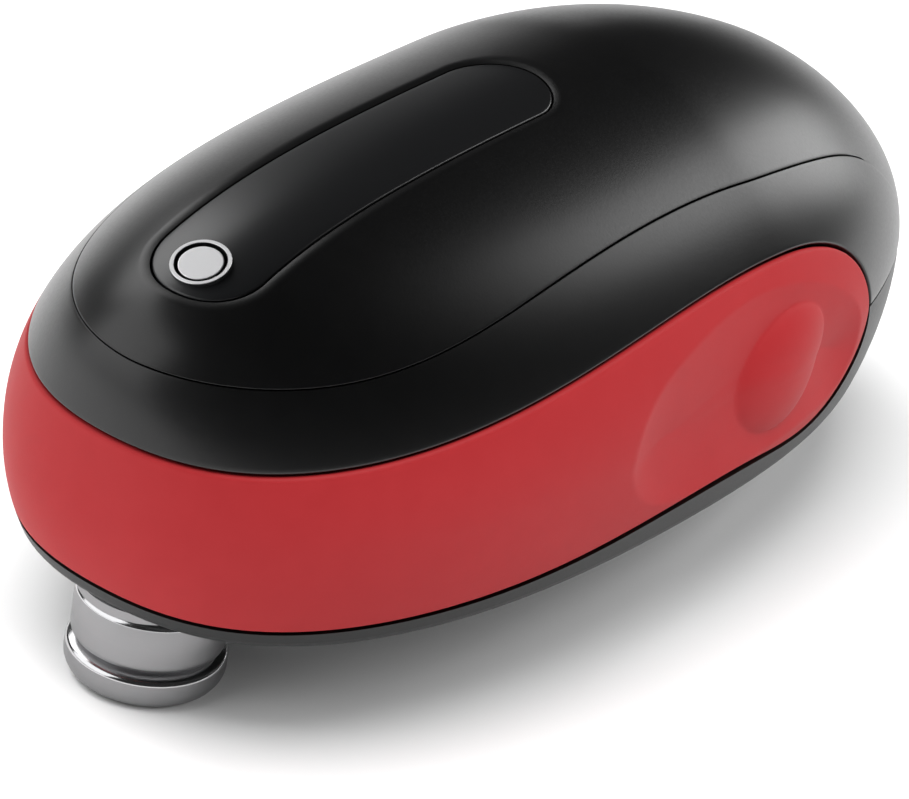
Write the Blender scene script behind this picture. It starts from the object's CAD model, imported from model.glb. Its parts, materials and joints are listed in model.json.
"""Looks of a rounded battery can opener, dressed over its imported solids.

The shells, the grip band, the button and the cutting head are modelled here as smooth pieces on
the same body form as the solids. Lengths are millimetres until a mesh is written in metres.
"""

import json
import logging
import math
from collections.abc import Callable, Sequence
from dataclasses import dataclass
from enum import Enum

import bpy
import numpy as np
from mathutils import Matrix, Quaternion, Vector


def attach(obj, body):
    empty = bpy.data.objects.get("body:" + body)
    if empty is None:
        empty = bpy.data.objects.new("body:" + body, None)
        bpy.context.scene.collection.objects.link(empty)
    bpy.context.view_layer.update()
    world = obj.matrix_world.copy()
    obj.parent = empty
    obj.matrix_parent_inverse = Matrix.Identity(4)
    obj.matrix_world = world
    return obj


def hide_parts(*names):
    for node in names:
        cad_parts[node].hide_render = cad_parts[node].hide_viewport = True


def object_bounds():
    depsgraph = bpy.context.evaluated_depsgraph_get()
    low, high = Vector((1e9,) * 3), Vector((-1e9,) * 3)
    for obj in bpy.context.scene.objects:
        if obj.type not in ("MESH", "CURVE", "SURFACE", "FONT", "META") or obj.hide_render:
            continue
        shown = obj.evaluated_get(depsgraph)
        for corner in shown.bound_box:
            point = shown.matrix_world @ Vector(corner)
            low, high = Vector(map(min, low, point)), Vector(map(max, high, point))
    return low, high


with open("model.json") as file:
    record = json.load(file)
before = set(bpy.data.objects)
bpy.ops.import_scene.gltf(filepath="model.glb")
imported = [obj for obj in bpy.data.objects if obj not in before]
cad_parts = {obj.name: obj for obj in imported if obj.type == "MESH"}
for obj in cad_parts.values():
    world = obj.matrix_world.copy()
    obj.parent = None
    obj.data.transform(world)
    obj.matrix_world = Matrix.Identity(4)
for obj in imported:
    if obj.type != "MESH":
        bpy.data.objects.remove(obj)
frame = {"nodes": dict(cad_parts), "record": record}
CAD_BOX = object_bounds()

LOG = logging.getLogger("can_opener")
MM = 0.001
IMAGE_WIDTH = 909
SENSOR_WIDTH = 36.0
WELD_REACH = 2e-6
SMOOTH_ANGLE = math.radians(40.0)
TURN_STEPS = 128
ROUND_SPAN = 0.12
HALVINGS = 44
NOISE_MIDDLE = 0.5
MARK_GAIN = 1.5
MARK_LIFT = 0.02
METAL_MARKS = 0.15
METAL_SPREAD = 0.35
SHEEN_ROUGHNESS = 0.45
MIRROR_Y = np.array([1.0, -1.0, 1.0])
NEARWARDS = np.array([0.0, -1.0, 0.0])
UPWARDS = np.array([0.0, 0.0, 1.0])

Piece = bpy.types.Object
Material = bpy.types.Material
Tree = bpy.types.NodeTree
Node = bpy.types.Node
Socket = bpy.types.NodeSocket
Sockets = bpy.types.bpy_prop_collection
Points = np.ndarray
Pairs = tuple[tuple[float, float], ...]
Colour = tuple[float, float, float]
Spot = tuple[float, float, float]
PointMap = Callable[[Points], Points]


class Grain(Enum):
    """Texture of a moulded piece: strength of its handling marks and spread of its roughness."""

    FINE = (0.3, 0.1)
    PLAIN = (0.12, 0.04)


class Lay(Enum):
    """Direction of the tool lines on a metal piece."""

    TURNED = "turned"
    DRAWN = "drawn"
    CAST = "cast"


def clear_selection() -> None:
    """Leave edit mode and deselect everything."""
    if bpy.context.object and bpy.context.object.mode != "OBJECT":
        bpy.ops.object.mode_set(mode="OBJECT")
    bpy.ops.object.select_all(action="DESELECT")


def make_active(piece: Piece) -> None:
    """Select one object alone and make it active."""
    clear_selection()
    piece.select_set(True)
    bpy.context.view_layer.objects.active = piece


def weld(piece: Piece) -> None:
    """Merge doubled points, turn the faces outwards and shade the piece smooth.

    Args:
        piece: The mesh object to finish.
    """
    make_active(piece)
    bpy.ops.object.mode_set(mode="EDIT")
    bpy.ops.mesh.select_all(action="SELECT")
    bpy.ops.mesh.remove_doubles(threshold=WELD_REACH)
    bpy.ops.mesh.dissolve_degenerate(threshold=WELD_REACH)
    bpy.ops.mesh.normals_make_consistent(inside=False)
    bpy.ops.object.mode_set(mode="OBJECT")
    bpy.ops.object.shade_smooth_by_angle(angle=SMOOTH_ANGLE)


def lattice(name: str, sheets: Sequence[Points]) -> Piece:
    """Model a piece from one or more grids of points and weld them together.

    Args:
        name: Name of the new piece.
        sheets: Arrays of points in millimetres, each shaped (rings, points, 3).

    Returns:
        The welded mesh object, at the origin.
    """
    grids = []
    for sheet in sheets:
        rings, across = sheet.shape[:2]
        clear_selection()
        bpy.ops.mesh.primitive_grid_add(x_subdivisions=across - 1, y_subdivisions=rings - 1, size=1.0)
        grid = bpy.context.object
        grid.data.vertices.foreach_set("co", (sheet * MM).astype(np.float32).ravel())
        grid.data.update()
        grids.append(grid)
    clear_selection()
    for grid in grids:
        grid.select_set(True)
    piece = grids[0]
    bpy.context.view_layer.objects.active = piece
    if len(grids) > 1:
        bpy.ops.object.join()
    piece.name = name
    piece.data.name = name
    weld(piece)
    return piece


def spun(name: str, profile: Pairs, centre: tuple[float, float]) -> Piece:
    """Turn a closed profile round an upright axis, as on a lathe.

    Args:
        name: Name of the new piece.
        profile: Radius and height pairs in millimetres, in order round the section.
        centre: X and Y of the axis in millimetres.

    Returns:
        The turned mesh object, at the origin.
    """
    clear_selection()
    bpy.ops.mesh.primitive_circle_add(vertices=len(profile), radius=1.0, fill_type="NOTHING")
    piece = bpy.context.object
    piece.name = name
    piece.data.name = name
    for vertex, (radius, height) in zip(piece.data.vertices, profile):
        vertex.co = (centre[0] * MM + radius * MM, centre[1] * MM, height * MM)
    bpy.ops.object.mode_set(mode="EDIT")
    bpy.ops.mesh.select_all(action="SELECT")
    bpy.ops.mesh.spin(
        steps=TURN_STEPS,
        angle=2.0 * math.pi,
        center=(centre[0] * MM, centre[1] * MM, 0.0),
        axis=(0.0, 0.0, 1.0),
    )
    weld(piece)
    return piece


def soft_power(ratio: Points, power: Points | float) -> Points:
    """Raise ratio to power, with the tight bend at zero eased out.

    Args:
        ratio: Values from zero upwards.
        power: One exponent, or one for each value.

    Returns:
        The eased powers.
    """
    value = ROUND_SPAN**power
    slope = power * ROUND_SPAN ** (power - 1.0)
    quartic = slope * ROUND_SPAN / 2.0 - value
    square = value - quartic
    share = ratio / ROUND_SPAN
    return np.where(ratio < ROUND_SPAN, square * share**2 + quartic * share**4, ratio**power)


def smooth_curve(knots: Pairs, count: int = 1200) -> Points:
    """Run a smooth cubic curve through a few knots.

    Args:
        knots: Points that the curve passes through, in order.
        count: How many points to read from the curve.

    Returns:
        Points along the curve, shaped (count, 2).
    """
    at = np.array(knots, dtype=float)
    gap = np.linalg.norm(np.diff(at, axis=0), axis=1)
    place = np.concatenate([[0.0], np.cumsum(gap)])
    last = len(at) - 1
    system = np.eye(last + 1)
    bend = np.zeros_like(at)
    for n in range(1, last):
        system[n, n - 1 : n + 2] = gap[n - 1], 2.0 * (gap[n - 1] + gap[n]), gap[n]
        bend[n] = 6.0 * ((at[n + 1] - at[n]) / gap[n] - (at[n] - at[n - 1]) / gap[n - 1])
    curl = np.linalg.solve(system, bend)
    run = np.linspace(0.0, place[-1], count)
    span = np.clip(np.searchsorted(place, run, side="right") - 1, 0, last - 1)
    ahead = ((run - place[span]) / gap[span])[:, None]
    behind = 1.0 - ahead
    reach = gap[span][:, None] ** 2 / 6.0
    eased = (behind**3 - behind) * curl[span] + (ahead**3 - ahead) * curl[span + 1]
    return behind * at[span] + ahead * at[span + 1] + reach * eased


def spaced(run: Points, shares: Points) -> Points:
    """Read points from a run at the given shares of its length.

    Args:
        run: Points along a line.
        shares: Places from 0 at its start to 1 at its end.

    Returns:
        One point for each share.
    """
    step = np.linalg.norm(np.diff(run, axis=0), axis=1)
    reach = np.concatenate([[0.0], np.cumsum(step)])
    at = shares * reach[-1]
    return np.stack([np.interp(at, reach, run[:, k]) for k in range(run.shape[1])], axis=1)


@dataclass(frozen=True)
class BodyForm:
    """The pebble that all outer pieces lie on.

    Args:
        nose_x: Tip of the nose.
        tail_x: Tip of the tail.
        widest_x: Where the body is widest.
        crest_x: Where the crest is highest.
        half_w: Half of the greatest breadth.
        crest_h: Rise of the crest above the equator.
        keel_h: Depth of the lower form below the equator.
        equator_z: Height of the equator.
        top_power: Exponent of the sections above the equator.
        low_power: Exponent of the sections below it.
        width_powers: Exponents of the plan towards nose and tail.
        crest_powers: Exponents of the crest towards nose and tail.
        keel_powers: Exponents of the keel towards nose and tail.
        hub_share: Share of a point's X at which the hub that sees it lies.
        hub_lift: Height of the hubs above the equator.
        far: Distance from any hub that is outside the form.
        spare: Distance past the greatest breadth or rise that is outside the form.
    """

    nose_x: float = -75.0
    tail_x: float = 75.0
    widest_x: float = 9.9
    crest_x: float = 12.3
    half_w: float = 36.0
    crest_h: float = 31.5
    keel_h: float = 41.5
    equator_z: float = 26.8
    top_power: float = 1.85
    low_power: float = 2.17
    width_powers: tuple[float, float] = (2.6, 1.97)
    crest_powers: tuple[float, float] = (4.0, 1.67)
    keel_powers: tuple[float, float] = (2.25, 2.25)
    hub_share: float = 0.7
    hub_lift: float = 2.0
    far: float = 160.0
    spare: float = 1.0

    def fullness(self, x: Points, peak: float, front: float, rear: float) -> Points:
        """Share of the full section at x, from 0 at the tips to 1 at the peak.

        Args:
            x: Places along the body.
            peak: Where the section is fullest.
            front: Exponent of the nose curve.
            rear: Exponent of the tail curve.

        Returns:
            The shares.
        """
        ahead = x < peak
        ratio = np.where(ahead, (peak - x) / (peak - self.nose_x), (x - peak) / (self.tail_x - peak))
        power = np.where(ahead, front, rear)
        return np.maximum(0.0, 1.0 - soft_power(np.abs(ratio), power)) ** (1.0 / power)

    def half_width(self, x: Points) -> Points:
        """Half breadth of the body at x."""
        return self.half_w * self.fullness(x, self.widest_x, *self.width_powers)

    def crest(self, x: Points) -> Points:
        """Rise of the crest above the equator at x."""
        return self.crest_h * self.fullness(x, self.crest_x, *self.crest_powers)

    def keel(self, x: Points) -> Points:
        """Depth of the lower form below the equator at x."""
        return self.keel_h * self.fullness(x, self.widest_x, *self.keel_powers)

    def excess(self, at: Points) -> Points:
        """How far points lie outside the form: negative inside, positive outside.

        Args:
            at: Points shaped (count, 3).

        Returns:
            One value for each point.
        """
        margin = 1e-4
        x = np.clip(at[:, 0], self.nose_x + margin, self.tail_x - margin)
        over = at[:, 2] >= self.equator_z
        rise = np.where(over, self.crest(x), self.keel(x))
        power = np.where(over, self.top_power, self.low_power)
        across = soft_power(np.abs(at[:, 1]) / self.half_width(x), power)
        upward = soft_power(np.abs(at[:, 2] - self.equator_z) / rise, power)
        beyond = (at[:, 0] < self.nose_x) | (at[:, 0] > self.tail_x)
        return np.where(beyond, 1.0, across + upward - 1.0)

    def travel(self, start: Points, way: Points, limit: float) -> Points:
        """How far points inside the form can go before they leave it.

        Args:
            start: Points inside, shaped (count, 3).
            way: Direction of each point, shaped like start.
            limit: Distance at which every point is outside.

        Returns:
            One distance for each point.
        """
        low = np.zeros(len(start))
        high = np.full(len(start), limit)
        for _ in range(HALVINGS):
            middle = (low + high) / 2.0
            outside = self.excess(start + way * middle[:, None]) > 0.0
            high = np.where(outside, middle, high)
            low = np.where(outside, low, middle)
        return low

    def cast(self, targets: Points) -> Points:
        """Carry points outwards or inwards onto the form.

        Args:
            targets: Points shaped (count, 3).

        Returns:
            The points on the form, seen from the middle of the body.
        """
        lift = np.array([0.0, 0.0, self.equator_z + self.hub_lift])
        hub = targets * np.array([self.hub_share, 0.0, 0.0]) + lift
        way = targets - hub
        way = way / np.linalg.norm(way, axis=1)[:, None]
        return hub + way * self.travel(hub, way, self.far)[:, None]

    def normals(self, at: Points) -> Points:
        """Outward directions of the form at points on it.

        Args:
            at: Points shaped (count, 3).

        Returns:
            Unit directions.
        """
        reach = 0.02
        steps = reach * np.eye(3)
        slope = np.stack([self.excess(at + step) - self.excess(at - step) for step in steps], axis=1)
        return slope / np.maximum(np.linalg.norm(slope, axis=1), 1e-12)[:, None]

    def flank(self, line: Points, count: int = 2400) -> Points:
        """Lay a side line on the near flank, from where it enters the body to where it leaves it.

        Args:
            line: X and Z pairs along the line.
            count: How many points to lay.

        Returns:
            Points on the form, shaped (count, 3).
        """
        share = np.linspace(0.0, 1.0, len(line))

        def spot(at: Points) -> Points:
            """Points of the centre plane at places along the line."""
            x, z = (np.interp(at, share, line[:, k]) for k in range(2))
            return np.stack([x, np.zeros(len(at)), z], axis=1)

        first, last = np.flatnonzero(self.excess(spot(share)) < 0.0)[[0, -1]]
        start = self.crossing(spot, share, first, -1)
        end = self.crossing(spot, share, last, 1)
        eased = (1.0 - np.cos(np.pi * np.linspace(0.0, 1.0, count))) / 2.0
        middle = spot(start + (end - start) * eased)
        way = np.broadcast_to(NEARWARDS, middle.shape)
        return middle + way * self.travel(middle, way, self.half_w + self.spare)[:, None]

    def crossing(self, spot: PointMap, share: Points, known: int, step: int) -> float:
        """Find where a side line passes through the form on the centre plane.

        Args:
            spot: Gives points at places along the line.
            share: Places of the line's own points.
            known: Index of the last point inside.
            step: Direction to look in, 1 or -1.

        Returns:
            The place along the line, or its end where it stops inside.
        """
        beyond = known + step
        if beyond < 0 or beyond >= len(share):
            return float(share[known])
        inner, outer = spot(share[[known, beyond]])
        passed = self.travel(inner[None], (outer - inner)[None], 1.0)[0]
        return float(share[known] + (share[beyond] - share[known]) * passed)


FORM = BodyForm()


def both_flanks(near: Points) -> Points:
    """Close a near-flank run into a loop with its mirror image on the far flank."""
    return np.concatenate([near, near[-2::-1] * MIRROR_Y])


def no_relief(at: Points) -> Points:
    """Leave a surface as it is."""
    return np.zeros(len(at))


@dataclass(frozen=True)
class Skin:
    """A shell on the body form between two matched runs, with rounded edges.

    Args:
        rim: Run along the outer edge.
        core: Run along the inner edge, or along the spine of a closed patch.
        rim_round: Breadth of the rounded edge at the rim.
        core_round: Radius of the rounded edge at the core, or zero for a closed patch.
        thickness: Wall thickness.
        spans: Rings between the two edges.
        sink: How far the surface lies below the form.
        bevel: Depth of a shallow bevel at the rim in place of a full round, or zero.
        relief: Extra depth of the surface at each point.
        edge_share: Largest share of the breadth that one rounded edge takes.
        edge_steps: Rings in a rounded edge.
        bevel_power: Exponent of the bevel's curve.
        inner_rings: Rings on the inside of the wall.
        least_width: Breadth that a shell is taken to have where its runs meet.
    """

    rim: Points
    core: Points
    rim_round: float
    core_round: float
    thickness: float
    spans: int
    sink: float = 0.0
    bevel: float = 0.0
    relief: PointMap = no_relief
    edge_share: float = 0.3
    edge_steps: int = 6
    bevel_power: float = 1.4
    inner_rings: int = 7
    least_width: float = 1e-6

    def ring(self, share: Points | float, depth: Points | float, raised: bool = True) -> Points:
        """Points at a share of the way from rim to core, at a depth below the form.

        Args:
            share: Place between the runs, 0 at the rim.
            depth: Depth below the form.
            raised: Whether the relief counts here.

        Returns:
            One ring of points.
        """
        weight = np.broadcast_to(share, len(self.rim))[:, None]
        at = FORM.cast(self.rim + (self.core - self.rim) * weight)
        total = depth + (self.relief(at) if raised else 0.0)
        return at - FORM.normals(at) * np.broadcast_to(total, len(at))[:, None]

    def sheets(self) -> list[Points]:
        """Grids of points that make the closed shell.

        Returns:
            One grid for a loop or strip, or an outer and an inner grid for a patch.
        """
        width = np.maximum(np.linalg.norm(self.core - self.rim, axis=1), self.least_width)
        rim_r, core_r = (np.minimum(r, self.edge_share * width) for r in (self.rim_round, self.core_round))
        turns = np.radians(np.linspace(90.0, 0.0, self.edge_steps))
        inside = self.sink + self.thickness
        outer = [self.ring(0.0, inside, raised=False)]
        for turn in turns:
            across = 1.0 - math.sin(turn)
            drop = rim_r * (1.0 - math.cos(turn))
            if self.bevel:
                drop = self.bevel * (1.0 - across) ** self.bevel_power
            outer.append(self.ring(rim_r * across / width, self.sink + drop))
        start, end = rim_r / width, 1.0 - core_r / width
        for step in np.linspace(0.0, 1.0, self.spans + 1)[1:]:
            outer.append(self.ring(start + (end - start) * step, self.sink))
        inner = [self.ring(step, inside, raised=False) for step in np.linspace(1.0, 0.0, self.inner_rings)]
        if self.core_round == 0.0:
            return [np.stack(outer), np.stack(inner)]
        for turn in turns[::-1][1:]:
            share = 1.0 - core_r * (1.0 - math.sin(turn)) / width
            outer.append(self.ring(share, self.sink + core_r * (1.0 - math.cos(turn))))
        return [np.stack(outer + inner)]


def node_group(name: str, inputs: Sequence[str], outputs: Sequence[str]) -> tuple[Tree, Sockets, Sockets]:
    """Start a shader node group with named sockets.

    Args:
        name: Name of the group.
        inputs: Names of its inputs: Vector is a vector, the others are numbers.
        outputs: Names of its outputs, which are numbers.

    Returns:
        The tree, the sockets that its inputs come from and the sockets that its outputs go to.
    """
    tree = bpy.data.node_groups.new(name, "ShaderNodeTree")
    for label in inputs:
        kind = "NodeSocketVector" if label == "Vector" else "NodeSocketFloat"
        tree.interface.new_socket(label, in_out="INPUT", socket_type=kind)
    for label in outputs:
        tree.interface.new_socket(label, in_out="OUTPUT", socket_type="NodeSocketFloat")
    return tree, tree.nodes.new("NodeGroupInput").outputs, tree.nodes.new("NodeGroupOutput").inputs


def connect(tree: Tree, source: Socket | float, target: Socket) -> None:
    """Link a socket to an input, or set the input where the source is a number.

    Args:
        tree: Tree that holds both.
        source: Socket or number to feed in.
        target: The input.
    """
    if isinstance(source, Socket):
        tree.links.new(source, target)
    else:
        target.default_value = source


def set_inputs(node: Node, values: dict[str, float | Sequence[float]]) -> None:
    """Set inputs of a node by name to values that are the same all over."""
    for label, value in values.items():
        node.inputs[label].default_value = value


def place_group(tree: Tree, effect: Tree, vector: Socket, values: dict[str, float]) -> Node:
    """Place a shared effect in a material.

    Args:
        tree: Node tree of the material.
        effect: The node group.
        vector: Coordinates that it reads.
        values: Its other inputs, by name.

    Returns:
        The group node.
    """
    node = tree.nodes.new("ShaderNodeGroup")
    node.node_tree = effect
    tree.links.new(vector, node.inputs["Vector"])
    set_inputs(node, values)
    return node


def math_node(tree: Tree, action: str, first: Socket, second: Socket | float = 0.0) -> Socket:
    """Add a math node and feed its two inputs.

    Args:
        tree: Tree that gets the node.
        action: Name of the operation.
        first: Socket for the first input.
        second: Socket or number for the second input.

    Returns:
        The result socket.
    """
    node = tree.nodes.new("ShaderNodeMath")
    node.operation = action
    connect(tree, first, node.inputs[0])
    connect(tree, second, node.inputs[1])
    return node.outputs[0]


def swing_node(tree: Tree, source: Socket, spread: Socket | float, mean: Socket | float) -> Socket:
    """Let a value between 0 and 1 swing round a mean.

    Args:
        tree: Tree that gets the nodes.
        source: Socket with the value.
        spread: How far the result swings in all.
        mean: What it swings round.

    Returns:
        The result socket.
    """
    swing = math_node(tree, "SUBTRACT", source, NOISE_MIDDLE)
    return math_node(tree, "ADD", math_node(tree, "MULTIPLY", swing, spread), mean)


def noise_node(tree: Tree, vector: Socket, scale: Socket | float, detail: float) -> Socket:
    """Add a noise texture.

    Args:
        tree: Tree that gets the node.
        vector: Socket with the coordinates.
        scale: Socket or number for the scale.
        detail: Octaves of detail.

    Returns:
        The noise value socket.
    """
    node = tree.nodes.new("ShaderNodeTexNoise")
    for label, source in (("Vector", vector), ("Scale", scale), ("Detail", detail)):
        connect(tree, source, node.inputs[label])
    return node.outputs["Fac"]


class EffectGroups:
    """Shader node groups that several finishes share."""

    grain_detail: float = 3.0
    broad_marks: tuple[float, float] = (38.0, 4.0)
    fine_marks: tuple[float, float] = (310.0, 2.0)
    ring_detail: float = 2.0
    line_detail: float = 3.0
    line_stretch: Spot = (0.02, 1.0, 1.0)

    def __init__(self) -> None:
        """Build each group once."""
        self.grain = self.build_grain()
        self.marks = self.build_marks()
        self.lathe = self.build_lathe()
        self.drawn = self.build_drawn()

    def build_grain(self) -> Tree:
        """Fine texture of a moulded surface: height and a small change of roughness.

        Returns:
            The node group.
        """
        names = ("Vector", "Scale", "Roughness", "Spread")
        tree, given, out = node_group("mould_grain", names, ("Height", "Roughness"))
        cells = tree.nodes.new("ShaderNodeTexVoronoi")
        for label in ("Vector", "Scale"):
            tree.links.new(given[label], cells.inputs[label])
        cloud = noise_node(tree, given["Vector"], given["Scale"], self.grain_detail)
        tree.links.new(math_node(tree, "ADD", cells.outputs["Distance"], cloud), out["Height"])
        tree.links.new(swing_node(tree, cloud, given["Spread"], given["Roughness"]), out["Roughness"])
        return tree

    def build_marks(self) -> Tree:
        """Faint handling marks: a broad mask with finer streaks in it.

        Returns:
            The node group.
        """
        tree, given, out = node_group("handling_marks", ("Vector", "Amount"), ("Mask",))
        broad = noise_node(tree, given["Vector"], *self.broad_marks)
        fine = noise_node(tree, given["Vector"], *self.fine_marks)
        mask = math_node(tree, "MULTIPLY", broad, fine)
        tree.links.new(math_node(tree, "MULTIPLY", mask, given["Amount"]), out["Mask"])
        return tree

    def build_lathe(self) -> Tree:
        """Rings that a lathe tool leaves round an upright axis.

        Returns:
            The node group.
        """
        tree, given, out = node_group("lathe_rings", ("Vector", "Scale"), ("Height",))
        split = tree.nodes.new("ShaderNodeSeparateXYZ")
        tree.links.new(given["Vector"], split.inputs[0])
        x, y, z = split.outputs
        square_x, square_y = (math_node(tree, "MULTIPLY", side, side) for side in (x, y))
        radius = math_node(tree, "SQRT", math_node(tree, "ADD", square_x, square_y))
        joined = tree.nodes.new("ShaderNodeCombineXYZ")
        for slot, length in enumerate((radius, z)):
            tree.links.new(math_node(tree, "MULTIPLY", length, given["Scale"]), joined.inputs[slot])
        tree.links.new(noise_node(tree, joined.outputs[0], 1.0, self.ring_detail), out["Height"])
        return tree

    def build_drawn(self) -> Tree:
        """Straight lines of a drawn or brushed surface along X.

        Returns:
            The node group.
        """
        tree, given, out = node_group("drawn_lines", ("Vector", "Scale"), ("Height",))
        stretch = tree.nodes.new("ShaderNodeMapping")
        stretch.inputs["Scale"].default_value = self.line_stretch
        tree.links.new(given["Vector"], stretch.inputs["Vector"])
        lines = noise_node(tree, stretch.outputs["Vector"], given["Scale"], self.line_detail)
        tree.links.new(lines, out["Height"])
        return tree


EFFECTS = EffectGroups()


@dataclass(frozen=True)
class Finish:
    """Base of all finishes: what every surface has.

    Args:
        name: Name of the material.
        colour: Linear base colour.
        roughness: Mean roughness.
        specular: Specular level of the clear surface.
    """

    name: str
    colour: Colour
    roughness: float
    specular: float = 0.5

    def marked(self) -> Colour:
        """Colour where the handling marks are strongest."""
        return tuple(min(1.0, MARK_GAIN * part + MARK_LIFT) for part in self.colour)

    def start(self) -> tuple[Material, Tree, Node, Socket]:
        """Make the material with its shader and its coordinates.

        Returns:
            The material, its tree, its shader node and the Object coordinates.
        """
        material = bpy.data.materials.new(self.name)
        material.use_nodes = True
        tree = material.node_tree
        shader = tree.nodes["Principled BSDF"]
        shader.inputs["Specular IOR Level"].default_value = self.specular
        material.diffuse_color = (*self.colour, 1.0)
        coords = tree.nodes.new("ShaderNodeTexCoord")
        return material, tree, shader, coords.outputs["Object"]

    def tint(self, tree: Tree, shader: Node, vector: Socket, swing: float) -> None:
        """Vary the base colour a little over the surface.

        Args:
            tree: Node tree of the material.
            shader: Its shader node.
            vector: Coordinates socket.
            swing: Largest share that the colour lightens by.
        """
        group = place_group(tree, EFFECTS.marks, vector, {"Amount": swing})
        mix = tree.nodes.new("ShaderNodeMix")
        mix.data_type = "RGBA"
        set_inputs(mix, {"A": (*self.colour, 1.0), "B": (*self.marked(), 1.0)})
        tree.links.new(group.outputs["Mask"], mix.inputs["Factor"])
        tree.links.new(mix.outputs["Result"], shader.inputs["Base Color"])

    def bump(self, tree: Tree, shader: Node, height: Socket, depth: float) -> None:
        """Feed a height into the shader's normal.

        Args:
            tree: Node tree of the material.
            shader: Its shader node.
            height: Height socket.
            depth: Height of the bumps in metres.
        """
        node = tree.nodes.new("ShaderNodeBump")
        set_inputs(node, {"Strength": 1.0, "Distance": depth})
        tree.links.new(height, node.inputs["Height"])
        tree.links.new(node.outputs["Normal"], shader.inputs["Normal"])


@dataclass(frozen=True)
class MouldedFinish(Finish):
    """A moulded plastic or rubber surface.

    Args:
        grain: Texture of the mould.
        grain_scale: Size of the texture, as cells to a metre.
        grain_depth: Height of the texture in metres.
        sheen: Weight of the soft-touch sheen.
        sheen_tint: Colour of the sheen.
    """

    grain: Grain = Grain.FINE
    grain_scale: float = 2600.0
    grain_depth: float = 4e-6
    sheen: float = 0.0
    sheen_tint: Colour = (1.0, 1.0, 1.0)

    def material(self) -> Material:
        """Build the material.

        Returns:
            The finished material.
        """
        material, tree, shader, vector = self.start()
        marks, spread = self.grain.value
        self.tint(tree, shader, vector, marks)
        values = {"Scale": self.grain_scale, "Roughness": self.roughness, "Spread": spread}
        group = place_group(tree, EFFECTS.grain, vector, values)
        tree.links.new(group.outputs["Roughness"], shader.inputs["Roughness"])
        self.bump(tree, shader, group.outputs["Height"], self.grain_depth)
        set_inputs(shader, {"Sheen Weight": self.sheen, "Sheen Roughness": SHEEN_ROUGHNESS})
        set_inputs(shader, {"Sheen Tint": (*self.sheen_tint, 1.0)})
        return material


@dataclass(frozen=True)
class MetalFinish(Finish):
    """A bare or plated metal surface.

    Args:
        lay: Direction of the tool lines.
        line_depth: Height of the tool lines in metres.
        centre: X and Y in millimetres that turned lines run round.
        pitch: Tool lines to a metre.
    """

    lay: Lay = Lay.TURNED
    line_depth: float = 2e-6
    centre: tuple[float, float] = (0.0, 0.0)
    pitch: float = 9000.0

    def material(self) -> Material:
        """Build the material.

        Returns:
            The finished material.
        """
        material, tree, shader, vector = self.start()
        shader.inputs["Metallic"].default_value = 1.0
        self.tint(tree, shader, vector, METAL_MARKS)
        mapping = tree.nodes.new("ShaderNodeMapping")
        mapping.inputs["Location"].default_value = (-self.centre[0] * MM, -self.centre[1] * MM, 0.0)
        tree.links.new(vector, mapping.inputs["Vector"])
        effects = {Lay.TURNED: EFFECTS.lathe, Lay.DRAWN: EFFECTS.drawn, Lay.CAST: EFFECTS.grain}
        group = place_group(tree, effects[self.lay], mapping.outputs["Vector"], {"Scale": self.pitch})
        height = group.outputs["Height"]
        roughness = swing_node(tree, height, METAL_SPREAD * self.roughness, self.roughness)
        tree.links.new(roughness, shader.inputs["Roughness"])
        self.bump(tree, shader, height, self.line_depth)
        return material


CUTTER_AT = (-62.0, 0.0)
DRIVE_AT = (-41.8, 0.0)

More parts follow.
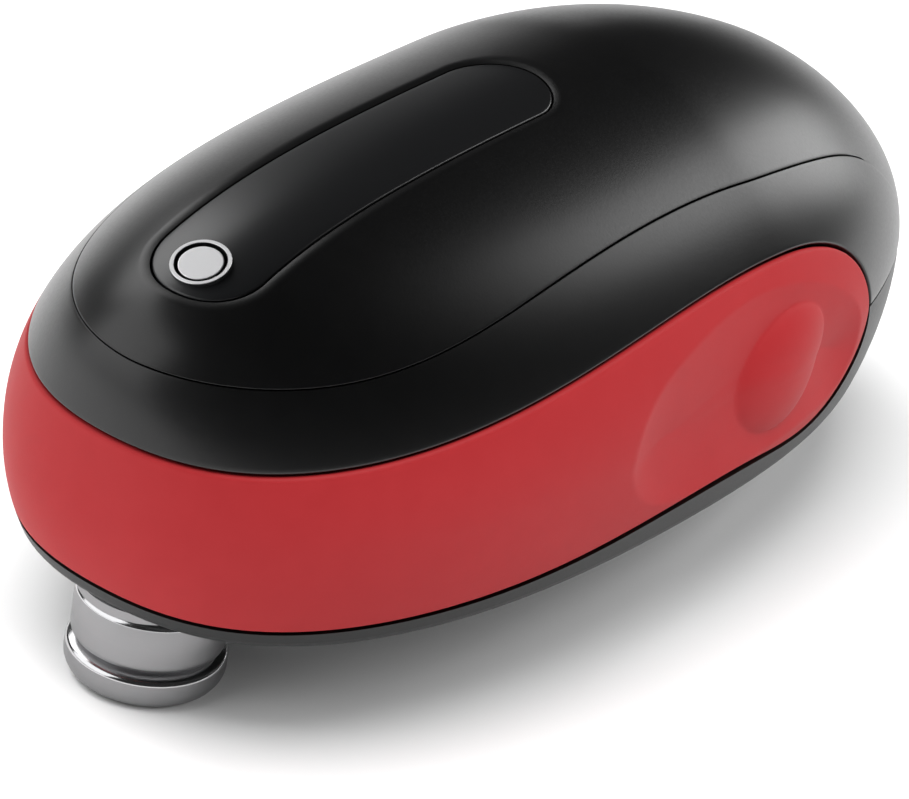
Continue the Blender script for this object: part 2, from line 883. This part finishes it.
FINISHES: dict[str, Finish] = {
    finish.name: finish
    for finish in (
        MouldedFinish("black_shell", (0.004, 0.004, 0.0043), 0.33, 0.42, grain_depth=2.5e-6),
        MouldedFinish("base_shell", (0.011, 0.012, 0.012), 0.42, 0.25, grain_depth=3e-6),
        MouldedFinish(
            "red_grip", (0.357, 0.0148, 0.0183), 0.62, 0.2, grain_scale=4200.0,
            grain_depth=3e-6, sheen=0.03, sheen_tint=(1.0, 0.55, 0.52),
        ),
        MouldedFinish("panel_black", (0.008, 0.0085, 0.0098), 0.36, 0.68, Grain.PLAIN, grain_depth=1e-6),
        MetalFinish("bright_silver", (0.74, 0.74, 0.75), 0.46, lay=Lay.DRAWN, line_depth=6e-7),
        MetalFinish("cutter_steel", (0.27, 0.27, 0.275), 0.4, centre=CUTTER_AT, line_depth=1.5e-6),
        MetalFinish("cutter_polish", (0.48, 0.48, 0.49), 0.15, centre=CUTTER_AT, line_depth=4e-7),
        MetalFinish("drive_steel", (0.55, 0.55, 0.56), 0.27, centre=DRIVE_AT),
        MetalFinish("plain_steel", (0.5, 0.5, 0.51), 0.3, lay=Lay.DRAWN),
        MetalFinish("spring_wire", (0.62, 0.62, 0.63), 0.24, lay=Lay.CAST, line_depth=8e-7),
        MouldedFinish("board_green", (0.012, 0.11, 0.035), 0.38, 0.5, Grain.PLAIN),
        MouldedFinish("switch_black", (0.012, 0.012, 0.012), 0.5, 0.4),
        MouldedFinish("gear_nylon", (0.74, 0.72, 0.64), 0.46, 0.45, grain_scale=1800.0),
        MetalFinish("bearing_bronze", (0.42, 0.26, 0.1), 0.46, lay=Lay.CAST, pitch=5200.0),
        MetalFinish("pinion_brass", (0.66, 0.44, 0.13), 0.28, lay=Lay.DRAWN),
        MetalFinish("plate_zinc", (0.5, 0.51, 0.52), 0.36, lay=Lay.DRAWN, pitch=4200.0),
        MetalFinish("motor_zinc", (0.46, 0.47, 0.48), 0.34, lay=Lay.CAST, pitch=3000.0),
        MouldedFinish("tray_black", (0.014, 0.014, 0.015), 0.5, 0.4),
        MetalFinish("cell_jacket", (0.09, 0.1, 0.12), 0.3, lay=Lay.DRAWN, line_depth=4e-7),
        MetalFinish("contact_nickel", (0.62, 0.6, 0.55), 0.24, lay=Lay.DRAWN),
        MetalFinish("magnet_nickel", (0.6, 0.6, 0.61), 0.16, lay=Lay.CAST, line_depth=5e-7),
        MouldedFinish("foot_rubber", (0.014, 0.014, 0.014), 0.72, 0.3),
    )
}


class FinishShelf:
    """Materials by finish name, each built once."""

    def __init__(self) -> None:
        """Start with an empty shelf."""
        self.built: dict[str, Material] = {}

    def get(self, name: str) -> Material:
        """Material of a finish, built on first use."""
        if name not in self.built:
            self.built[name] = FINISHES[name].material()
        return self.built[name]

    def dress(self, piece: Piece, *names: str) -> None:
        """Give an object the materials of the named finishes, in slot order.

        Args:
            piece: The object to dress.
            names: Finish names, one for each slot.
        """
        piece.data.materials.clear()
        for name in names:
            piece.data.materials.append(self.get(name))


SHELF = FinishShelf()


def place_on(piece: Piece, body: str, slot: str, *nodes: str) -> None:
    """Let a piece ride on a body in place of CAD nodes.

    Args:
        piece: The finished piece.
        body: Body that carries it.
        slot: Material slot of the record.
        nodes: CAD nodes that it stands for.
    """
    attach(piece, body)
    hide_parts(*nodes)
    LOG.info("%s rides on %s with %d faces", piece.name, body, len(piece.data.polygons))


@dataclass(frozen=True)
class SideLines:
    """Side-view lines that divide the shells.

    Args:
        part_z: Height of the rear parting line.
        part_gap: Open gap above the parting line.
        seam_half: Half of the open gap along the top seam.
        seam_knots: X and Z pairs along the top seam.
        band_knots: X and Z pairs round the grip band.
    """

    part_z: float = 28.0
    part_gap: float = 0.25
    seam_half: float = 0.06
    seam_knots: Pairs = (
        (-84.0, 44.6), (-58.0, 44.6), (-30.0, 48.0), (0.0, 49.6), (30.0, 46.6), (48.0, 40.0), (61.0, 28.0),
    )
    band_knots: Pairs = (
        (-84.0, 34.8), (-55.0, 36.9), (-25.0, 40.1), (8.0, 42.0), (24.0, 39.8), (33.6, 33.0),
        (35.4, 24.5), (29.5, 18.6), (10.0, 17.2), (-30.0, 16.3), (-60.0, 15.5), (-84.0, 14.8),
    )

    def part_edge(self) -> float:
        """Height of the edge of the upper shells along the parting line."""
        return self.part_z + self.part_gap

    def seam(self, lift: float) -> Points:
        """Top seam from the nose to the parting line, lifted by the given amount."""
        line = smooth_curve(self.seam_knots) + np.array([0.0, lift])
        return line[line[:, 1] > self.part_edge()]

    def rear(self, first_x: float, last_x: float, count: int) -> Points:
        """Level edge of the upper shells along the parting line.

        Args:
            first_x: Where it starts.
            last_x: Where it ends.
            count: How many points to give.

        Returns:
            X and Z pairs, shaped (count, 2).
        """
        return np.stack([np.linspace(first_x, last_x, count), np.full(count, self.part_edge())], axis=1)

    def band(self, grow: float) -> Points:
        """Outline of the grip band, grown by the given amount.

        Args:
            grow: How far the outline moves outwards.

        Returns:
            X and Z pairs from the nose along the top, round the end and back along the bottom.
        """
        line = smooth_curve(self.band_knots)
        run = np.gradient(line, axis=0)
        run = run / np.linalg.norm(run, axis=1)[:, None]
        return line + grow * np.stack([-run[:, 1], run[:, 0]], axis=1)


LINES = SideLines()


@dataclass
class TopCover:
    """Large upper shell with the opening for the button panel."""

    pill_front: float = -66.8
    pill_rear: float = -0.8
    pill_half: float = 7.1
    cap_points: int = 60
    points: int = 361
    spans: int = 46
    lip: float = 1.1
    lip_drop: float = 0.32
    seam_round: float = 0.1
    wall: float = 2.0
    corner: float = 0.2
    past_tail: float = 84.0
    rear_points: int = 400
    pair_at: tuple[float, ...] = (0.0, 0.16, 0.6, 1.0)
    pill_pairs: tuple[float, ...] = (0.0, 0.15, 0.85, 1.0)
    edge_pairs: tuple[float, ...] = (0.0, 0.13, 0.52, 1.0)

    def pill(self, shrink: float, shares: Points) -> Points:
        """Outline of the panel on the near side, from front to rear.

        Args:
            shrink: How far the outline moves inwards.
            shares: Places along the half outline.

        Returns:
            Points above the crest, one for each share.
        """
        radius = self.pill_half - shrink
        turn = np.linspace(0.0, np.pi / 2.0, self.cap_points)
        front_x, rear_x = self.pill_front + self.pill_half, self.pill_rear - self.pill_half
        nose = np.stack([front_x - radius * np.cos(turn), -radius * np.sin(turn)], axis=1)
        tail = np.stack([rear_x + radius * np.sin(turn), -radius * np.cos(turn)], axis=1)
        flat = spaced(np.concatenate([nose, tail]), shares)
        return np.column_stack([flat, self.height(flat)])

    def height(self, flat: Points) -> Points:
        """Height of the form above points of the plan, shaped (count, 2)."""
        base = np.column_stack([flat, np.full(len(flat), FORM.equator_z)])
        way = np.broadcast_to(UPWARDS, base.shape)
        return FORM.equator_z + FORM.travel(base, way, FORM.crest_h + FORM.spare)

    def edge(self) -> Points:
        """Lower edge of the cover on the near flank: the seam, then the parting line to the tail."""
        seam = LINES.seam(LINES.seam_half)
        rear = LINES.rear(seam[-1, 0] + self.corner, self.past_tail, self.rear_points)
        return FORM.flank(np.concatenate([seam, rear]))

    def build(self) -> Piece:
        """Model the cover.

        Returns:
            The finished piece.
        """
        shares = np.linspace(0.0, 1.0, self.points)
        inner = np.interp(shares, self.pair_at, self.pill_pairs)
        outer = np.interp(shares, self.pair_at, self.edge_pairs)
        rim = both_flanks(self.pill(0.0, inner))
        core = both_flanks(spaced(self.edge(), outer))
        skin = Skin(rim, core, self.lip, self.seam_round, self.wall, self.spans, bevel=self.lip_drop)
        piece = lattice("cover_shell", skin.sheets())
        SHELF.dress(piece, "black_shell")
        place_on(piece, "housing", "black_shell", "top_cover")
        return piece


@dataclass
class Skirt:
    """Dark shell between the top seam and the grip band."""

    points: int = 421
    spans: int = 22
    lip: float = 0.3
    seam_round: float = 0.1
    band_gap: float = 0.2
    wall: float = 2.0
    corner: float = 0.1
    rear_points: int = 500

    def lower_line(self) -> Points:
        """Lower edge as X and Z pairs from the nose over the band to the tip at the seam."""
        band = LINES.band(self.band_gap)
        top = band[: band[:, 0].argmax() + 1]
        top = top[top[:, 1] > LINES.part_edge()]
        tip_x = LINES.seam(-LINES.seam_half)[-1, 0] + self.corner
        return np.concatenate([top, LINES.rear(top[-1, 0] + self.corner, tip_x, self.rear_points)])

    def build(self) -> Piece:
        """Model the skirt.

        Returns:
            The finished piece.
        """
        shares = np.linspace(0.0, 1.0, self.points)
        low = spaced(FORM.flank(self.lower_line()), shares)
        high = spaced(FORM.flank(LINES.seam(-LINES.seam_half)), shares)
        high[-1] = low[-1]
        rim, core = (np.concatenate([run[::-1], run[1:] * MIRROR_Y]) for run in (low, high))
        skin = Skin(rim, core, self.lip, self.seam_round, self.wall, self.spans)
        piece = lattice("skirt_shell", skin.sheets())
        SHELF.dress(piece, "black_shell")
        place_on(piece, "housing", "black_shell", "upper_housing")
        return piece


@dataclass
class GripBand:
    """Soft band round the nose and both flanks, with a thumb dish and a raised oval on each end."""

    side_points: int = 201
    cap_points: int = 81
    edge_round: float = 0.6
    wall: float = 2.6
    spans: int = 44
    tuck: float = 0.1
    cap_from: float = 0.415
    cap_to: float = 0.575
    spine_points: int = 400
    nose_lead: float = 9.0
    flank_from: float = 10.0
    dish_points: int = 600
    dish_knots: Pairs = (
        (0.0, 18.3), (-8.5, 18.3), (-16.2, 20.9), (-20.6, 26.4), (-18.6, 32.4), (-10.2, 37.0),
        (4.0, 39.4), (17.0, 37.9), (26.6, 33.6), (32.0, 28.2), (32.2, 23.0), (28.6, 19.9),
        (20.0, 18.8), (10.0, 18.4), (0.0, 18.3),
    )
    dish_depth: float = 2.2
    dish_reach: float = 9.0
    dish_start: float = 1.6
    bump_at: tuple[float, float] = (13.0, 28.2)
    bump_half: tuple[float, float] = (10.0, 7.7)
    bump_rise: float = 2.4
    bump_power: float = 0.8
    bump_tilt: float = 10.0

    def hollow(self, at: Points) -> Points:
        """Depth of the thumb dish, which starts with a crease at its outline.

        Args:
            at: Points on the form.

        Returns:
            One depth for each point.
        """
        outline = smooth_curve(self.dish_knots, self.dish_points)
        run = np.gradient(outline, axis=0)
        inward = np.stack([run[:, 1], -run[:, 0]], axis=1)
        side = at[:, [0, 2]]
        gap = np.linalg.norm(side[:, None, :] - outline[None, :, :], axis=2)
        near = gap.argmin(axis=1)
        inside = ((side - outline[near]) * inward[near]).sum(axis=1) > 0.0
        share = np.clip(gap.min(axis=1) / self.dish_reach, 0.0, 1.0)
        slope = self.dish_start - (self.dish_start - 1.0) * share
        return np.where(inside, self.dish_depth * slope * share, 0.0)

    def rise(self, at: Points) -> Points:
        """Height of the raised oval inside the dish.

        Args:
            at: Points on the form.

        Returns:
            One height for each point.
        """
        tilt = math.radians(self.bump_tilt)
        c, s = math.cos(tilt), math.sin(tilt)
        x, z = at[:, 0] - self.bump_at[0], at[:, 2] - self.bump_at[1]
        along, across = (x * c + z * s) / self.bump_half[0], (z * c - x * s) / self.bump_half[1]
        return self.bump_rise * np.clip(1.0 - along**2 - across**2, 0.0, 1.0) ** self.bump_power

    def relief(self, at: Points) -> Points:
        """Depth of the dish less the rise of the oval in it, on the flanks only."""
        flank = np.abs(at[:, 1]) > self.flank_from
        return np.where(flank, self.hollow(at) - self.rise(at), 0.0)

    def build(self) -> Piece:
        """Model the band.

        Returns:
            The finished piece.
        """
        cap = np.linspace(self.cap_from, self.cap_to, self.cap_points)
        upper = np.linspace(0.0, self.cap_from, self.side_points)
        lower = np.linspace(self.cap_to, 1.0, self.side_points)
        shares = np.concatenate([upper, cap[1:-1], lower])
        outline = spaced(FORM.flank(LINES.band(-self.tuck)), shares)
        side = outline[:, [0, 2]]
        even = np.linspace(0.0, 1.0, self.spine_points)
        head = spaced(side[shares <= self.cap_from], even)
        foot = spaced(side[shares >= self.cap_to][::-1], even)
        middle = (head + foot) / 2.0
        spine = FORM.flank(np.concatenate([middle[:1] - np.array([self.nose_lead, 0.0]), middle]))
        along = np.interp(shares, (0.0, self.cap_from, self.cap_to, 1.0), (0.0, 1.0, 1.0, 0.0))
        core = spaced(spine, along)
        rim, core = (np.concatenate([run, run[::-1] * MIRROR_Y]) for run in (outline, core))
        skin = Skin(rim, core, self.edge_round, 0.0, self.wall, self.spans, relief=self.relief)
        piece = lattice("grip_sleeve", skin.sheets())
        SHELF.dress(piece, "red_grip")
        place_on(piece, "housing", "red_grip", "grip_band")
        return piece


@dataclass
class ButtonPanel:
    """Bare pill-shaped panel on the crest with the start button in its front end."""

    cover: TopCover
    points: int = 241
    clearance: float = 0.22
    sink: float = 0.3
    edge_round: float = 0.25
    wall: float = 1.5
    spans: int = 12
    button_x: float = -62.3
    tilt_step: float = 0.5
    ring_profile: Pairs = (
        (2.97, -2.2), (2.97, -0.16), (3.01, -0.12), (3.38, -0.12), (3.43, -0.17), (3.43, -2.2),
    )
    disc_profile: Pairs = (
        (0.0, -4.0), (2.54, -4.0), (2.54, -0.35), (2.52, -0.31), (2.47, -0.285), (2.42, -0.28),
        (2.36, -0.28), (0.0, -0.28),
    )
    hole_radius: float = 3.2
    hole_depth: float = 12.0
    hole_sides: int = 96
    bright_slope: float = 0.3

    def axis(self) -> Matrix:
        """Placement of the button: its axis stands square on the crest."""
        rise = FORM.crest(self.button_x + self.tilt_step * np.array([-1.0, 0.0, 1.0]))
        tilt = math.atan((rise[2] - rise[0]) / (2.0 * self.tilt_step))
        spot = Vector((self.button_x, 0.0, FORM.equator_z + rise[1])) * MM
        return Matrix.Translation(spot) @ Matrix.Rotation(-tilt, 4, "Y")

    def stand(self, piece: Piece) -> None:
        """Turn a piece made round the origin onto the button's axis and apply its place."""
        make_active(piece)
        piece.matrix_world = self.axis()
        bpy.ops.object.transform_apply(location=True, rotation=True, scale=True)

    def build_panel(self) -> Piece:
        """Model the panel with the round hole under the ring.

        Returns:
            The finished piece.
        """
        shares = np.linspace(0.0, 1.0, self.points)
        near = self.cover.pill(self.clearance, shares)
        front = self.cover.pill_front + self.cover.pill_half
        rear = self.cover.pill_rear - self.cover.pill_half
        flat = np.stack([np.clip(near[:, 0], front, rear), np.zeros(self.points)], axis=1)
        spine = np.column_stack([flat, self.cover.height(flat)])
        rim, core = both_flanks(near), both_flanks(spine)
        skin = Skin(rim, core, self.edge_round, 0.0, self.wall, self.spans, self.sink)
        piece = lattice("panel_inset", skin.sheets())
        clear_selection()
        bpy.ops.mesh.primitive_cylinder_add(
            vertices=self.hole_sides, radius=self.hole_radius * MM, depth=self.hole_depth * MM
        )
        drill = bpy.context.object
        self.stand(drill)
        make_active(piece)
        cut = piece.modifiers.new("ring_hole", "BOOLEAN")
        cut.object = drill
        cut.operation = "DIFFERENCE"
        bpy.ops.object.modifier_apply(modifier=cut.name)
        bpy.data.objects.remove(drill)
        SHELF.dress(piece, "panel_black")
        place_on(piece, "housing", "panel_black", "button_panel")
        return piece

    def build_turned(self, name: str, profile: Pairs) -> Piece:
        """Model a round piece of the button: bright on top, with dark walls.

        Args:
            name: Name of the new piece.
            profile: Radius and height pairs in millimetres, measured along the button's axis.

        Returns:
            The finished piece, not yet placed on a body.
        """
        piece = spun(name, profile, (0.0, 0.0))
        SHELF.dress(piece, "bright_silver", "panel_black")
        for face in piece.data.polygons:
            face.material_index = 0 if face.normal.z > self.bright_slope else 1
        self.stand(piece)
        return piece

    def build_button(self) -> None:
        """Model the bright ring and the disc inside it."""
        ring = self.build_turned("button_bezel", self.ring_profile)
        place_on(ring, "housing", "bright_silver", "button_ring")
        disc = self.build_turned("button_disc", self.disc_profile)
        place_on(disc, "button", "bright_silver", "start_button")


@dataclass
class CuttingHead:
    """Turned steel carrier and free-running cutter wheel under the nose."""

    carrier_profile: Pairs = (
        (0.0, 4.75), (8.0, 4.75), (8.5, 4.86), (8.82, 5.12), (8.95, 5.5), (8.96, 5.8), (8.96, 10.5),
        (8.9, 10.68), (8.35, 11.2), (8.1, 11.3), (0.0, 11.3),
    )
    neck_profile: Pairs = (
        (0.0, 11.0), (8.5, 11.0), (8.5, 12.1), (8.3, 12.3), (0.0, 12.3),
    )
    neck_shift: tuple[float, float] = (-0.25, 0.36)
    wheel_profile: Pairs = (
        (2.6, 4.65), (7.75, 4.65), (7.95, 4.42), (8.25, 4.28), (9.02, 3.95), (9.18, 3.83),
        (9.33, 3.55), (9.36, 3.4), (9.36, 2.1), (9.3, 1.65), (9.1, 1.1), (8.75, 0.55),
        (8.35, 0.18), (7.95, 0.0), (4.7, 0.0), (4.7, 2.3), (2.6, 2.3),
    )
    polish_slope: float = 0.12
    level_slope: float = 0.98

    def hand_over(self, piece: Piece, body: str, node: str) -> None:
        """Dress a turned piece, with polish on the slopes that face upwards, and place it.

        Args:
            piece: The turned piece.
            body: Body that carries it.
            node: CAD node that it stands for.
        """
        SHELF.dress(piece, "cutter_steel", "cutter_polish")
        for face in piece.data.polygons:
            face.material_index = 1 if self.polish_slope < face.normal.z < self.level_slope else 0
        place_on(piece, body, "cutter_steel", node)

    def build(self) -> None:
        """Model both turned pieces."""
        carrier = spun("carrier_drum", self.carrier_profile, CUTTER_AT)
        neck_at = (CUTTER_AT[0] + self.neck_shift[0], CUTTER_AT[1] + self.neck_shift[1])
        neck = spun("carrier_neck", self.neck_profile, neck_at)
        make_active(carrier)
        neck.select_set(True)
        bpy.ops.object.join()
        self.hand_over(carrier, "carrier", "cutter_carrier")
        wheel = spun("cutter_disc", self.wheel_profile, CUTTER_AT)
        self.hand_over(wheel, "cutter", "cutter_wheel")


@dataclass
class Hardware:
    """The solids that stay as they are and only get a finish."""

    toothed: str = "drive_wheel"
    toothed_finish: str = "drive_steel"

    def dress(self) -> None:
        """Give every carried-over node the finish of its material slot."""
        for part in frame["record"]["subparts"]:
            node = part["node"]
            finish = self.toothed_finish if node == self.toothed else part["material_slot"]
            SHELF.dress(frame["nodes"][node], finish)
            LOG.info("%s has the finish %s", node, finish)


@dataclass(frozen=True)
class SoftBox:
    """One rectangular studio light.

    Args:
        name: Name of the light.
        place: Where it stands, in metres.
        aim: Point that it faces, in metres.
        size: Its sides in metres.
        power: Its power in watts.
        roll: Turn about its own axis, in degrees.
    """

    name: str
    place: Spot
    aim: Spot
    size: tuple[float, float]
    power: float
    roll: float = 0.0

    def build(self) -> Piece:
        """Set up the light.

        Returns:
            The light object.
        """
        lamp = bpy.data.lights.new(self.name, "AREA")
        lamp.shape = "RECTANGLE"
        lamp.size, lamp.size_y = self.size
        lamp.energy = self.power
        light = bpy.data.objects.new(self.name, lamp)
        bpy.context.scene.collection.objects.link(light)
        light.location = self.place
        heading = (Vector(self.aim) - Vector(self.place)).to_track_quat("-Z", "Y")
        turn = Quaternion((0.0, 0.0, 1.0), math.radians(self.roll))
        light.rotation_euler = (heading @ turn).to_euler()
        return light


@dataclass
class Studio:
    """Pale floor, soft light and the camera at the photograph's angle."""

    floor_half: float = 6.0
    floor_drop: float = 0.0002
    floor_colour: Colour = (0.86, 0.86, 0.86)
    floor_roughness: float = 0.9
    floor_specular: float = 0.1
    world_level: float = 0.035
    camera_at: Spot = (-411.0, -243.2, 273.6)
    camera_right: Spot = (0.578, -0.801, 0.155)
    camera_up: Spot = (0.314, 0.395, 0.863)
    focal_pixels: float = 4418.0
    clip_from: float = 0.01
    boxes: tuple[SoftBox, ...] = (
        SoftBox("key_box", (-0.69, 0.58, 0.5), (0.0, 0.0, 0.04), (1.2, 0.95), 6.8),
        SoftBox("back_box", (0.12, 0.66, 0.56), (-0.03, 0.0, 0.05), (0.58, 0.48), 2.5),
        SoftBox("edge_card", (0.53, 0.7, 0.1), (-0.03, 0.0, 0.05), (0.7, 0.1), 0.21),
        SoftBox("rear_card", (0.91, -0.23, 0.4), (0.0, 0.0, 0.05), (0.29, 0.76), 3.2, 38.0),
    )
    floor_lights: tuple[SoftBox, ...] = (
        SoftBox("floor_wash", (-0.09, 0.13, 0.85), (0.0, 0.0, 0.0), (0.84, 0.84), 10.8),
        SoftBox("floor_fill", (0.15, -0.8, 0.7), (0.0, 0.0, 0.0), (1.2, 0.8), 5.6),
    )
    band_light: SoftBox = SoftBox("flank_card", (0.0, -0.4, 1.0), (0.0, 0.0, 0.04), (1.0, 0.5), 13.5)

    def build_floor(self) -> Piece:
        """Lay the floor at the height that the object stands on.

        Returns:
            The floor object.
        """
        clear_selection()
        bpy.ops.mesh.primitive_plane_add(size=2.0 * self.floor_half)
        floor = bpy.context.object
        floor.name = "floor"
        for vertex in floor.data.vertices:
            vertex.co.z = CAD_BOX[0][2] - self.floor_drop
        material = bpy.data.materials.new("pale_floor")
        material.use_nodes = True
        looks = {
            "Base Color": (*self.floor_colour, 1.0),
            "Roughness": self.floor_roughness,
            "Specular IOR Level": self.floor_specular,
        }
        set_inputs(material.node_tree.nodes["Principled BSDF"], looks)
        floor.data.materials.append(material)
        return floor

    def build_linked(self, box: SoftBox, pieces: Sequence[Piece]) -> None:
        """Set up a light that only the given pieces receive.

        Args:
            box: The light.
            pieces: Objects that it lights.
        """
        light = box.build()
        receivers = bpy.data.collections.new(f"{box.name}_receivers")
        for piece in pieces:
            receivers.objects.link(piece)
        light.light_linking.receiver_collection = receivers

    def build_lights(self, floor: Piece, band: Piece) -> None:
        """Set up the soft boxes, the linked lights and the dim room.

        Args:
            floor: The floor, which has a wash and a fill of its own.
            band: The grip band, which has a card of its own.
        """
        for box in self.boxes:
            box.build()
        for box in self.floor_lights:
            self.build_linked(box, [floor])
        self.build_linked(self.band_light, [band])
        world = bpy.data.worlds.new("dim_room")
        world.use_nodes = True
        looks = {"Color": (1.0, 1.0, 1.0, 1.0), "Strength": self.world_level}
        set_inputs(world.node_tree.nodes["Background"], looks)
        bpy.context.scene.world = world

    def build_camera(self) -> None:
        """Put the camera where the photograph was taken from."""
        right, up = Vector(self.camera_right).normalized(), Vector(self.camera_up).normalized()
        back = right.cross(up).normalized()
        up = back.cross(right)
        lens = bpy.data.cameras.new("photo_camera")
        lens.sensor_width = SENSOR_WIDTH
        lens.lens = self.focal_pixels * SENSOR_WIDTH / IMAGE_WIDTH
        lens.clip_start = self.clip_from
        camera = bpy.data.objects.new("photo_camera", lens)
        bpy.context.scene.collection.objects.link(camera)
        turn = Matrix((right, up, back)).transposed().to_4x4()
        camera.matrix_world = Matrix.Translation(Vector(self.camera_at) * MM) @ turn
        bpy.context.scene.camera = camera

    def build(self, band: Piece) -> None:
        """Build the whole studio.

        Args:
            band: The grip band, which has a card of its own.
        """
        self.build_lights(self.build_floor(), band)
        self.build_camera()
        bpy.context.scene.view_settings.view_transform = "Standard"


def main() -> None:
    """Build the pieces in order, then the studio round them."""
    logging.basicConfig(level=logging.INFO, format="%(name)s: %(message)s")
    Hardware().dress()
    cover = TopCover()
    cover.build()
    Skirt().build()
    band = GripBand().build()
    panel = ButtonPanel(cover)
    panel.build_panel()
    panel.build_button()
    CuttingHead().build()
    Studio().build(band)


if __name__ == "__main__":
    main()
